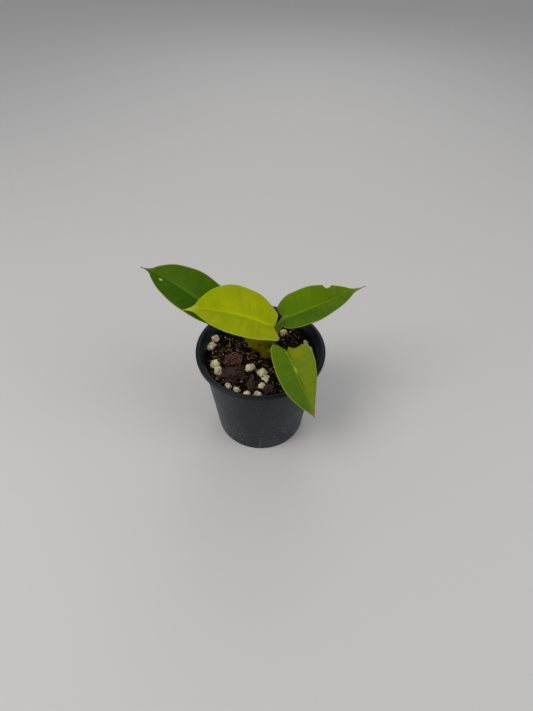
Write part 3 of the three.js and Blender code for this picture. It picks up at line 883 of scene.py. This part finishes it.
class PLANT_OT_perlite(bpy.types.Operator):
    """Lay the perlite grains on the mix"""
    bl_idname = "plant.perlite"
    bl_label = "Perlite"

    def execute(self, context):
        draw = random.Random(PERLITE_SHAPE_SEED)
        blank = ball_shape(4)
        grains = []
        for x, y, half in perlite_grains():
            grains.append(settled(self.grain(blank, half, draw), x, y, half[2] * 0.45))
        small = ball_shape(2)
        for _ in range(PERLITE_DUST):
            size = draw.uniform(0.3, 0.8)
            x, y = free_spot(draw, inner_radius(MIX_LEVEL) - 2)
            grains.append(settled(rough_lump(small, (size, size, size * 0.8), draw, 0.5), x, y, 0.9))
        piece = gathered("perlite_grains", grains)
        smooth(piece, 180)
        dress(piece, "potting_mix", perlite_material())
        return {"FINISHED"}

    def grain(self, blank, half, draw):
        """A puffed grain like an uneven pebble, with a few dents."""
        corners, faces = blank
        shift = drawn(draw, 90)
        turn = Matrix.Rotation(draw.uniform(0, math.tau), 3, "Z")
        dents = []
        for _ in range(4):
            aim = Vector((draw.uniform(-1, 1), draw.uniform(-1, 0.6), draw.uniform(0.1, 1))).normalized()
            dents.append((aim, draw.uniform(0.10, 0.30), draw.uniform(0.12, 0.4)))
        shaped = []
        for corner in corners:
            reach = 1 + 0.40 * noise.noise(corner * 0.9 + shift) + 0.16 * noise.noise(corner * 2.2 + shift)
            for aim, deep, wide in dents:
                reach -= deep * math.exp(-((corner - aim).length / wide) ** 2)
            reach += 0.035 * noise.noise(corner * 7.0 + shift)
            sized = Vector((corner.x * half[0], corner.y * half[1], corner.z * half[2]))
            shaped.append(turn @ sized * reach)
        return shaped, faces


# Bark

def bark_material(name, light, dark, turn):
    look = Look(name)
    grain = look.stretched(look.place, (250, 1900, 1500), 5, 0.65, turn, 0.4)
    broad = look.noise(190, 4, 0.6)
    fine = look.noise(1800, 4, 0.7)
    look.colour = look.mix(grain.smooth(0.35, 0.66), dark, light)
    look.cover(broad.smooth(0.52, 0.66) * 0.75, shaded(dark, 0.4))
    # Pale specks, partly the bark's own colour and partly painted highlight glints
    look.cover(fine.smooth(0.60, 0.70) * 0.7, shaded(light, 2.0))
    return look.finish(
        Roughness=(grain * 0.5 + broad * 0.5).smooth(0.35, 0.65) * 0.5 + 0.2,
        Normal=look.bump(grain * 1.4 + fine * 0.4 + broad, 0.9, 0.0008))


class PLANT_OT_bark(bpy.types.Operator):
    """Shape the pieces of bark in the mix"""
    bl_idname = "plant.bark"
    bl_label = "Bark"

    def execute(self, context):
        for name, (turn, boxiness, ridge, slot, light, dark) in BARK.items():
            low, high = [Vector(corner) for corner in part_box(name)]
            deselect()
            bpy.ops.mesh.primitive_ico_sphere_add(subdivisions=6, radius=1.0)
            piece = named(name + "_grained")
            half = (high - low) / 2
            middle = (high + low) / 2
            for vertex in piece.data.vertices:
                vertex.co = middle + self.shaped(vertex.co, half, turn, boxiness, ridge, middle / MM)
            smooth(piece, 180)
            dress(piece, slot, bark_material(name, tint(*light), tint(*dark), turn), name)
        return {"FINISHED"}

    def shaped(self, corner, half, turn, boxiness, ridge, shift):
        """A split lump with ridges along the grain, broken layers and crevices."""
        square = Vector(math.copysign(abs(value) ** boxiness, value) for value in corner)
        angle = math.radians(turn)
        across = -corner.x * math.sin(angle) + corner.y * math.cos(angle)
        drift = noise.noise(corner * 1.3 + shift)
        reach = 1.0 + 0.34 * drift + 0.20 * noise.noise(corner * 2.7 + shift)
        reach -= ridge * abs(math.sin(across * 8 + drift * 5))
        reach += 0.09 * noise.noise(Vector((across * 14, corner.z * 5, 3)) + shift)
        layer = math.floor((corner.z + 0.5 * drift) * 3.2) / 3.2
        reach += 0.16 * noise.noise(Vector((corner.x * 1.8, corner.y * 1.8, layer * 7)) + shift)
        crevice = abs(noise.noise(corner * 1.9 - shift))
        reach -= 0.24 * math.exp(-(crevice / 0.08) ** 2)
        reach = min(reach, 1.16)
        return Vector((square.x * half.x, square.y * half.y, square.z * half.z)) * reach


# Leaves

def blade_frame(leaf, share):
    """Directions ahead, to the left and up at a share of the blade's length."""
    heading = math.radians(leaf["heading"][0] + leaf["heading"][1] * share)
    pitch = math.radians(leaf["pitch"][0] + leaf["pitch"][1] * share)
    roll = math.radians(leaf["roll"][0] + leaf["roll"][1] * share)
    ahead = Vector((
        math.cos(heading) * math.cos(pitch), math.sin(heading) * math.cos(pitch), math.sin(pitch)))
    level = Vector((-math.sin(heading), math.cos(heading), 0))
    left = level * math.cos(roll) + ahead.cross(level) * math.sin(roll)
    return ahead, left, ahead.cross(left)


def notch_depth(leaf, side, share):
    """How deep a notch cuts into the margin, as a share of the half width."""
    depth = 0.0
    for notch_side, place, width, deep in leaf["notches"]:
        if notch_side == side:
            off = abs(share - place) / (width / 2)
            ragged = 1 + 0.25 * noise.noise(Vector((share * 160, 1.5, 2.5)))
            depth = max(depth, deep * ragged * min(1.0, max(0.0, 2.2 - 1.6 * off)))
    return depth


class Blade:
    """The surface of one leaf blade, read by shares along the margin and across."""

    def __init__(self, leaf):
        self.leaf = leaf
        self.stations = [Vector(leaf["base"])]
        for index in range(BLADE_STATIONS):
            ahead = blade_frame(leaf, (index + 0.5) / BLADE_STATIONS)[0]
            self.stations.append(self.stations[-1] + ahead * leaf["length"] / BLADE_STATIONS)
        self.margins = {}
        for index, side in enumerate(("left", "right")):
            control = []
            for x, y in leaf["margin"][index]:
                reach = x * leaf["lobe"][index] if x < 0 else x ** leaf["taper"] * leaf["length"]
                control.append((reach, y * leaf["width"][index], 0))
            self.margins[side] = Spline(control)

    def flat_place(self, share, across):
        """Millimetres ahead of the base and to the left of the midrib."""
        side = "left" if across > 0 else "right"
        rib = self.leaf["length"] * share ** VEIN_SWEEP
        margin = self.margins[side].at(share)
        out = abs(across) ** RIB_SPACING * (1 - notch_depth(self.leaf, side, share))
        return rib + (margin.x - rib) * out, margin.y * out * (1 if across > 0 else -1)

    def point(self, ahead, aside, lift):
        """The place in space of a flat place, lifted off the blade's middle layer."""
        leaf = self.leaf
        share = min(1.0, max(0.0, ahead / leaf["length"]))
        _, left, up = blade_frame(leaf, share)
        place = share * (len(self.stations) - 1)
        index = min(int(place), len(self.stations) - 2)
        point = self.stations[index].lerp(self.stations[index + 1], place - index)
        point = point + blade_frame(leaf, 0)[0] * min(ahead, 0)
        reach = abs(aside)
        widest = max(leaf["width"])
        fold = math.radians(leaf["fold"])
        sign = (aside > 0) - (aside < 0)
        ripple = RIPPLE_HEIGHT * math.sin(ahead * RIPPLE_RATE + sign) * (reach / widest) ** 2
        rise = math.sin(fold) * reach - leaf["bow"] * (reach / widest) ** 2 + ripple
        return point + left * aside * math.cos(fold) + up * (rise + lift)


def leaf_material(name, leaf):
    look = Look(name)
    share, across = look.parts(look.uv)[:2]
    aside = across * 2 - 1
    out = aside.math("ABSOLUTE")
    left, right, rib, tip = (tint(*colour) for colour in leaf["colours"])
    broad = look.noise(55, 3, 0.5)
    streaks = look.stretched(look.uv, (60, 2.2, 1), 4, 0.6)
    fine = look.stretched(look.uv, (380, 9, 1), 3, 0.6)
    grain = look.noise(1500, 3, 0.6)
    look.colour = look.mix(aside.smooth(-0.08, 0.08), right, left)
    look.cover(broad.smooth(0.35, 0.7) * 0.30, rib)
    # A darker copy of the leaf colour, laid on as painted shade over the swells between side veins, along the
    # vein streaks and beside the midrib
    shade_colour = look.times(look.colour, (0.70, 0.74, 0.68))
    swell_shade = look.stretched(look.uv, (16, 1.1, 1), 2, 0.5).smooth(0.40, 0.64)
    look.cover(swell_shade * out.smooth(0.05, 0.35) * 0.32, shade_colour)
    look.cover(streaks.smooth(0.42, 0.72) * 0.26, shade_colour)
    look.cover(fine.smooth(0.5, 0.75) * 0.10, rib)
    wave = (share * (SIDE_VEINS * math.tau)).math("SINE")
    vein = wave.smooth(0.80, 1.0) * out.smooth(0.97, 0.70)
    look.cover(vein * 0.10, rib)
    centre = out.smooth(0.20, 0.02) * share.smooth(1.0, 0.55)
    look.cover(centre * 0.70, rib)
    shade = aside.smooth(0.03, 0.08) * aside.smooth(0.40, 0.10)
    look.cover(shade * 0.45, shade_colour)
    # Scars, and spots of painted sheen and painted shade, each laid over the leaf's colour
    for spot, side, long, wide, patch in leaf["scars_and_painted_light"]:
        far = ((share - spot) / long) ** 2 + ((aside - side) / wide) ** 2
        patch_mask = far.math("SQRT") + (grain - 0.5) * 0.5 + (broad - 0.5) * 0.8
        look.cover(patch_mask.smooth(1.3, 0.5) * 0.7, tint(*patch))
    look.cover(share.smooth(0.86, 0.97) * 0.8, tip)
    look.cover(out.smooth(0.960, 0.985) * 0.30, tint(178, 186, 80))
    roughness = streaks * 0.10 + broad * 0.12 + 0.34
    relief = (1 - vein) * 0.25 + fine * 0.25 + grain * 0.12 + streaks * 0.5
    return look.finish(
        Roughness=roughness, Normal=look.bump(relief, 0.30, 0.0003),
        Specular_IOR_Level=0.06, **SINKING)


class PLANT_OT_leaves(bpy.types.Operator):
    """Shape the four heart-shaped blades with their ribs and veins"""
    bl_idname = "plant.leaves"
    bl_label = "Leaf blades"

    def execute(self, context):
        settings = context.scene.plant_settings
        for name, leaf in LEAVES.items():
            self.blade(name, leaf, settings)
        return {"FINISHED"}

    def blade(self, name, leaf, settings):
        surface = Blade(leaf)
        rib_places = []

        def place(u, v):
            share = BLADE_END + (1 - 2 * BLADE_END) * u
            across = 2 * v - 1
            ahead, aside = surface.flat_place(share, across)
            distance = abs(aside)
            rib_places.append(math.exp(-(distance / RIB_SPREAD) ** 2) * (1 - share))
            wave = math.sin(share * SIDE_VEINS * math.tau)
            out = abs(across)
            vein = step(0.75, 1.0, wave) * step(0.0, 0.15, out) * (1 - step(0.75, 0.98, out))
            pillow = 0.5 * (1 - wave) * math.sin(math.pi * min(1.0, out))
            lift = settings.blade_thickness / MM / 2
            lift -= settings.vein_depth / MM * (vein - 0.6 * pillow)
            lift -= GROOVE_DEPTH * math.exp(-(distance / GROOVE_SPREAD) ** 2) * (1 - 0.6 * share)
            return surface.point(ahead, aside, lift)

        piece = shaped_grid(name + "_blade", (BLADE_ROWS, BLADE_COLUMNS), place)
        count = len(piece.data.vertices)
        apply_modifier(
            piece, "SOLIDIFY", thickness=settings.blade_thickness, offset=-1, use_even_offset=False)
        corners = piece.data.vertices
        for index in range(count, len(corners)):
            down = (corners[index].co - corners[index - count].co).normalized()
            corners[index].co += down * settings.rib_depth * rib_places[index - count]
        smooth(piece, 50)
        dress(piece, leaf["slot"], leaf_material(name, leaf), name)


# Stem

def tube(name, path, facing, steps, size_at, groove=0.0):
    """A stalk with rounded ends: size_at gives its half width and half depth."""
    curve = Spline(path)
    facing = Vector(facing)

    def place(u, v):
        ahead = curve.direction(u)
        across = facing.cross(ahead).normalized()
        front = ahead.cross(across).normalized()
        wide, deep = size_at(u)
        end = min(1.0, min(u, 1 - u) / 0.03)
        round_end = math.sqrt(max(0.0, 1 - (1 - end) ** 2))
        angle = v * math.tau
        dent = 1 - groove * math.exp(-((abs(v - 0.25)) / 0.07) ** 2)
        off = across * wide * math.cos(angle) + front * deep * math.sin(angle)
        return curve.at(u) + off * round_end * dent

    piece = shaped_grid(name, steps, place)
    weld(piece)
    smooth(piece, 180)
    return piece


def stalk_material(name, low, high, rise_from, rise_to, spots=False):
    """A stalk that turns from its low to its high colour between two heights in millimetres."""
    look = Look(name)
    across = look.parts(look.place)[0] / MM
    height = look.parts(look.place)[2] / MM
    broad = look.noise(110, 3)
    lines = look.stretched(look.place, (1600, 1600, 60), 3, 0.6)
    grain = look.noise(1300, 3)
    rise = (height + broad * 10 - 5).smooth(rise_from, rise_to)
    look.colour = look.mix(rise, tint(*low), tint(*high))
    look.cover(lines.smooth(0.5, 0.7) * 0.25, tint(134, 134, 40))
    foot = (height + grain * 3).smooth(83, 78)
    look.cover(foot * 0.6, tint(96, 74, 34))
    if spots:
        mottle = look.noise(260, 4, 0.65)
        look.cover(mottle.smooth(0.45, 0.7) * 0.45, tint(82, 68, 4))
        blemish = look.noise(330, 3, 0.6).smooth(0.58, 0.66)
        look.cover(blemish * 0.6, tint(112, 66, 24))
        spot = ((across - BROWN_SPOT[0]) ** 2 + ((height - BROWN_SPOT[1]) * 0.7) ** 2).math("SQRT")
        look.cover((spot + grain * 1.2).smooth(2.5, 1.2) * 0.95, tint(98, 38, 12))
    return look.finish(
        Roughness=broad * 0.12 + 0.34,
        Normal=look.bump(lines + grain * 0.4, 0.4, 0.0003), Specular_IOR_Level=0.10, **SINKING)


class PLANT_OT_stem(bpy.types.Operator):
    """Shape the crown, the leaf stalks and the sheath leaf between them"""
    bl_idname = "plant.stem"
    bl_label = "Stem"

    def execute(self, context):
        green = stalk_material("stalk_green", (92, 98, 5), (106, 132, 3), 80, 100)
        olive = stalk_material("stalk_olive", (112, 98, 8), (124, 120, 4), 80, 100, spots=True)
        golden = stalk_material("stalk_golden", (88, 72, 8), (138, 146, 2), 94, 114)
        skins = {"leaf_back_left": olive, "leaf_gold": golden}
        self.crown(olive)
        for name, (start, via, radii) in STALKS.items():
            self.stalk(name, start, via, radii, skins.get(name, green))
        sheath = tube(
            "sheath_leaf", SHEATH_PATH, (0.05, -1, 0), (70, 40),
            lambda share: (along(SHEATH_HALF_WIDTHS, share), along(SHEATH_HALF_DEPTHS, share)))
        dress(sheath, "stem_green", olive)
        return {"FINISHED"}

    def crown(self, material):
        path = [(*CROWN_PLACE, height) for height in CROWN_HEIGHTS]
        crown = tube(
            "crown", path, (0, -1, 0), (60, 32),
            lambda share: [along(CROWN_RADII, share) * (1 + 0.03 * math.sin(share * 70))] * 2)
        dress(crown, "stem_green", material, "stem")

    def stalk(self, name, start, via, radii, material):
        leaf = LEAVES[name]
        ahead, _, up = blade_frame(leaf, 0)
        base = Vector(leaf["base"])
        foot = (CROWN_PLACE[0] + start[0], CROWN_PLACE[1] + start[1], STALK_START_HEIGHT)
        path = [foot, *via, base - up * 1.5 - ahead * 0.5, base - up * 0.9 + ahead * 6]

        def size_at(share):
            radius = lerp(radii[0], radii[1], min(1.0, share * 1.6))
            radius *= 1 + 0.10 * math.exp(-((share - 0.84) / 0.06) ** 2)
            radius = lerp(radius, 0.7, step(0.86, 1.0, share))
            return radius, radius

        piece = tube("stalk_of_" + name, path, (0, -1, 0.2), (80, 28), size_at, 0.12)
        dress(piece, "stem_green", material)


# Stage

class PLANT_OT_stage(bpy.types.Operator):
    """Set up the floor, the soft lights and the camera"""
    bl_idname = "plant.stage"
    bl_label = "Stage"

    def execute(self, context):
        settings = context.scene.stage_settings
        deselect()
        bpy.ops.mesh.primitive_plane_add(size=FLOOR_SIZE, location=(0, 0, -FLOOR_DROP))
        floor = named("floor")
        look = Look("floor")
        paper = look.noise(3, 3)
        look.colour = look.mix(paper * 0.3, settings.floor_colour, shaded(settings.floor_colour, 0.93))
        floor.data.materials.append(look.finish(Roughness=0.7))
        for name, (place, size, share) in LIGHTS.items():
            self.light(name, place, size, settings.light * share)
        world = bpy.data.worlds.new("studio")
        world.use_nodes = True
        background = world.node_tree.nodes["Background"]
        background.inputs["Color"].default_value = WORLD_COLOUR
        background.inputs["Strength"].default_value = WORLD_STRENGTH
        context.scene.world = world
        context.scene.view_settings.view_transform = "Standard"
        self.camera(context)
        return {"FINISHED"}

    def light(self, name, place, size, power):
        deselect()
        bpy.ops.object.light_add(type="AREA", location=place)
        lamp = bpy.context.object
        lamp.name = name
        lamp.data.shape = "DISK"
        lamp.data.size = size
        lamp.data.energy = power
        aim = Vector(LIGHT_AIM) - Vector(place)
        lamp.rotation_euler = aim.to_track_quat("-Z", "Y").to_euler()

    def camera(self, context):
        deselect()
        bpy.ops.object.camera_add(location=EYE)
        camera = context.object
        camera.name = "view"
        tilt = Matrix.Rotation(math.radians(90 - EYE_PITCH), 4, "X")
        roll = Matrix.Rotation(math.radians(EYE_ROLL), 4, "Z")
        camera.matrix_world = Matrix.Translation(EYE) @ tilt @ roll
        camera.data.sensor_fit = "AUTO"
        camera.data.sensor_width = 36
        camera.data.lens = LENS
        camera.data.clip_start = 0.01
        context.scene.camera = camera


# Panel and registration

OPERATORS = (
    PLANT_OT_stage, PLANT_OT_pot, PLANT_OT_mix, PLANT_OT_crumbs, PLANT_OT_perlite, PLANT_OT_bark,
    PLANT_OT_stem, PLANT_OT_leaves,
)
SETTINGS = {
    "pot_settings": PotSettings,
    "mix_settings": MixSettings,
    "plant_settings": PlantSettings,
    "stage_settings": StageSettings,
}


class PLANT_PT_panel(bpy.types.Panel):
    """Lists the steps that build the potted plant"""
    bl_label = "Potted plant"
    bl_idname = "PLANT_PT_panel"
    bl_space_type = "VIEW_3D"
    bl_region_type = "UI"
    bl_category = "Plant"

    def draw(self, context):
        for name, group in SETTINGS.items():
            box = self.layout.box()
            for key in group.__annotations__:
                box.prop(getattr(context.scene, name), key)
        for operator in OPERATORS:
            self.layout.operator(operator.bl_idname)


def register():
    for name, group in SETTINGS.items():
        bpy.utils.register_class(group)
        setattr(bpy.types.Scene, name, bpy.props.PointerProperty(type=group))
    for operator in OPERATORS:
        bpy.utils.register_class(operator)
    bpy.utils.register_class(PLANT_PT_panel)


def unregister():
    bpy.utils.unregister_class(PLANT_PT_panel)
    for operator in reversed(OPERATORS):
        bpy.utils.unregister_class(operator)
    for name, group in SETTINGS.items():
        delattr(bpy.types.Scene, name)
        bpy.utils.unregister_class(group)


def main():
    register()
    for operator in OPERATORS:
        group, name = operator.bl_idname.split(".")
        getattr(getattr(bpy.ops, group), name)()
    deselect()


if __name__ == "__main__":
    main()
